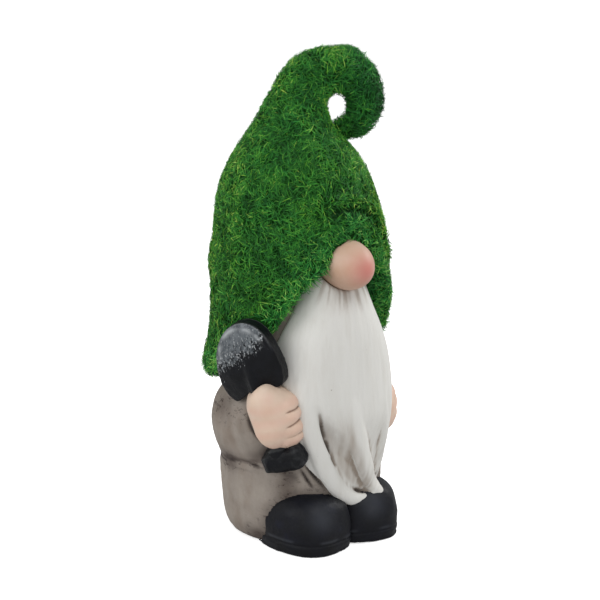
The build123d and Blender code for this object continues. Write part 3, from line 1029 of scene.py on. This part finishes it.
def blade_object(name, verts, shade, yellow):
    """One mesh of many blades, each with its own cell in the texture space used for baking."""
    count = len(verts)
    start = 5 * np.arange(count)[:, None, None]
    tris = (start + np.array([[0, 1, 3], [0, 3, 2], [2, 3, 4]])).reshape(-1, 3)
    obj = new_object(name, verts.reshape(-1, 3), tris)
    mesh = obj.data
    write_attribute(mesh, "shade", shade)
    write_attribute(mesh, "yellow", np.repeat(yellow, 5))
    cells = math.ceil(math.sqrt(count))
    corner = np.array([[0.2, 0.1], [0.8, 0.1], [0.2, 0.5], [0.8, 0.5], [0.5, 0.9]])
    cell = np.column_stack([np.arange(count) % cells, np.arange(count) // cells])
    spots = (cell[:, None, :] + corner[None]) / cells
    uv = mesh.uv_layers.new(name="OFBake")
    uv.data.foreach_set("uv", spots.reshape(-1, 2)[tris.reshape(-1)].ravel().astype(np.float32))
    return obj


def brim_of(points):
    """How far each point lies outside the groove in millimetres, and how strong the groove is there."""
    distance, along = beside(points, fine_path(GROOVE))
    return distance, ease(0, 0.15, along) * ease(1, 0.8, along)


def shape_turf(clay):
    """Rolls the flock in towards the low rim at the back, and turns it up in a brim round the face."""
    clay.smooth(3)
    low_rim = corners("hat_turf")[0][2]
    fall = np.clip((low_rim + 17 - clay.at[:, 2]) / 17, 0, 1)
    clay.at[:, :2] *= (1 - 0.16 * fall**2)[:, None]
    clay.smooth(20, ease(0, 0.4, fall))
    over, brim = brim_of(clay.at)
    clay.push(brim * (2.0 * bump(over + 7, 4) - 2.8 * bump(over, 2.2) + 2.6 * bump(over - 5, 3.2)))


def colour_blades(at, shade, over, brim, rng):
    """The shade and the yellowness of the blades, by their place on the hat."""
    turn = turn_of(at)
    # painted shadow darkens the groove and painted light brightens the crest above it, and the front of
    # the brim is a cooler green, painted paler as painted light
    shade = shade * (1 + brim * (0.6 * bump(over - 4, 2.5) - 0.95 * bump(over + 0.5, 2.8)))[:, None]
    above_brim = at[:, 2] - rim_height(at) - BRIM_DEPTH
    cool_and_lit = ease(2, -4, above_brim) * ease(150, 60, np.abs(turn))
    # both sides are painted paler than the front as painted light, and the end of the curl is darker
    sides = 0.36 * ease(5, 35, turn) * ease(90, 40, turn)
    sides += 0.1 * ease(40, 90, turn)
    sides += 0.28 * ease(-65, -95, turn)
    curl = ease(12, 32, at[:, 0]) * ease(238, 250, at[:, 2])
    shade *= (0.97 + 0.4 * cool_and_lit + sides * (1 - cool_and_lit) * (1 - curl) - 0.16 * curl)[:, None]
    yellow = 0.55 + 0.4 * rough_noise(at, 26, 47) + 0.2 * rng.normal(size=len(at))
    yellow -= 0.8 * cool_and_lit + 0.45 * curl
    return shade, np.clip(yellow, 0, 1)


def make_turf():
    rng = np.random.default_rng(SEED)
    clay = Clay("turf_mat", [node_mesh("hat_turf")], 1.3)
    shape_turf(clay)
    free = open_points(clay, tree_of("hat_shell", "body_shell", "beard", "nose", "shovel_blade"))
    at, out = scatter(clay, free, BLADES, rng)
    over, brim = brim_of(at)
    verts, shade = grow_blades(at, out, 1 - 0.5 * brim * bump(over, 5), rng)
    shade, yellow = colour_blades(at, shade, over, brim, rng)
    material = blade_paint()
    group = np.minimum(turn_of(at) % 360 // (360 / BLADE_GROUPS), BLADE_GROUPS - 1)
    for k in range(BLADE_GROUPS):
        mine = group == k
        obj = blade_object(f"grass_{k + 1}", verts[mine], shade[mine], yellow[mine])
        give(obj, material)
        place(obj, "grass_flock")
    # the mat lies a little below the surface that the blades grow through
    clay.push(np.where(free, -1.3 + 0.7 * rough_noise(clay.at, 5, 51), 0))
    clay.finish(mat_paint(), "hat_turf", "grass_flock")


# ---------------- what stays as CAD made it


def dress_hidden_nodes():
    """Materials for the nodes that keep their CAD shape."""
    looks = {
        "hat_shell": cast_paint("hat_casting", tint(58, 92, 44), tint(40, 66, 32)),
        "base_plate": cast_paint("base_casting", tint(176, 168, 156), tint(150, 142, 130)),
        "curl_wire": steel("wire_steel", tint(190, 190, 192), tint(140, 140, 144)),
        "fill_plug": rubber(),
        "shovel_shaft": steel("shaft_steel", tint(62, 63, 66), tint(34, 35, 38)),
    }
    pins = steel("pin_steel", tint(200, 200, 202), tint(150, 150, 154))
    looks["beard_pins"] = looks["boot_pins"] = pins
    for name, material in looks.items():
        give(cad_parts[name], material)


# ---------------- floor, light and camera

# Half the figure's height, in metres, where the lamps and the camera look
LOOK_AT = Vector((0, 0, 0.15))
# How bright the backdrop shows to the camera, and how bright it lights the figure
BACKDROP_SEEN, BACKDROP_LIGHT = 1.0, 0.52


def make_stage():
    """A white floor just below the figure, wide enough to reach the horizon."""
    reach, below, steps = 14000.0, -0.05, 29
    grid = np.linspace(-reach, reach, steps)
    verts = [[x, y, below] for y in grid for x in grid]
    faces = [
        [r * steps + c, r * steps + c + 1, (r + 1) * steps + c + 1, (r + 1) * steps + c]
        for r in range(steps - 1)
        for c in range(steps - 1)
    ]
    floor = new_object("floor", verts, faces)
    paint = Paint("floor_white", 0.9, 0.1)
    white = paint.ramp(paint.noise(300, 2), (0.3, 0.93), (0.7, 0.95))
    # whiter to look at than what it throws back at the figure
    seen = paint.node("LightPath").outputs["Is Camera Ray"]
    paint.set(paint.shader, "Emission Color", white)
    paint.set(paint.shader, "Emission Strength", paint.sum(paint.product(seen, 0.5), 0.2))
    give(floor, paint.colour(paint.mix(seen, [0.5, 0.5, 0.5, 1.0], white)))
    # it can't be seen from below, so the underside of the figure can
    behind = paint.node("NewGeometry").outputs["Backfacing"]
    clear = paint.node("BsdfTransparent").outputs[0]
    both = paint.node("MixShader", {0: behind, 1: paint.shader.outputs[0], 2: clear})
    paint.set(paint.tree.nodes["Material Output"], "Surface", both.outputs[0])


def aim(obj, bearing, height, distance):
    """Puts an object at a bearing from the front and a height angle, and turns it to the figure."""
    b, h = math.radians(bearing), math.radians(height)
    back = Vector((math.sin(b) * math.cos(h), -math.cos(b) * math.cos(h), math.sin(h)))
    obj.location = LOOK_AT + back * distance
    obj.rotation_euler = back.to_track_quat("Z", "Y").to_euler()


def soft_box(name, bearing, height, distance, size, power):
    light = bpy.data.lights.new(name, "AREA")
    light.shape = "DISK"
    light.size = size
    light.energy = power
    aim(linked(name, light), bearing, height, distance)


def make_backdrop(scene):
    """A white world that shows brighter than it lights."""
    world = bpy.data.worlds.new("studio")
    world.use_nodes = True
    nodes, links = world.node_tree.nodes, world.node_tree.links
    background = nodes["Background"]
    background.inputs["Color"].default_value = (1, 1, 1, 1)
    path = nodes.new("ShaderNodeLightPath")
    level = nodes.new("ShaderNodeMapRange")
    level.inputs["To Min"].default_value = BACKDROP_LIGHT
    level.inputs["To Max"].default_value = BACKDROP_SEEN
    links.new(path.outputs["Is Camera Ray"], level.inputs["Value"])
    links.new(level.outputs["Result"], background.inputs["Strength"])
    scene.world = world


def make_light():
    bpy.context.scene.view_settings.view_transform = "Standard"
    make_backdrop(bpy.context.scene)
    # each with its bearing, height angle, distance, size and power
    soft_box("key", -8, 48, 1.1, 0.45, 3.0)
    soft_box("right", 80, 28, 1.1, 0.4, 4.2)
    soft_box("left", -100, 24, 1.2, 0.8, 4.0)
    soft_box("back", 165, 45, 1.3, 0.8, 1.6)
    soft_box("low", -62, 6, 1.2, 0.7, 0.7)


def make_camera():
    """The photo's view, from the figure's right and a little above."""
    camera = linked("camera", bpy.data.cameras.new("camera"))
    aim(camera, bearing=-35, height=13, distance=1.15)
    camera.data.sensor_width = 36
    camera.data.lens = 112
    # the lens is shifted, so that the figure stands a little above the picture's middle
    camera.data.shift_x = -0.00167
    camera.data.shift_y = -0.01667
    bpy.context.scene.camera = camera


make_turf()
make_beard()
make_coat()
make_nose()
make_hand("right_fist", "right_hand", (-43.6, -36.5, 85.5), (-0.25, -0.97, 0), 1.0, 5.0)
make_hand("left_fist", "left_hand", (43, -21, 74), (0.35, -0.94, 0), 0.35, 0.0)
boot_look = boot_paint()
make_boot("boot_right", "right_boot", boot_look, 1, 5.5)
make_boot("boot_left", "left_boot", boot_look, -1, 8.0)
shovel_look = shovel_paint()
make_blade(shovel_look)
make_grip(shovel_look)
dress_hidden_nodes()
make_stage()
make_light()
make_camera()
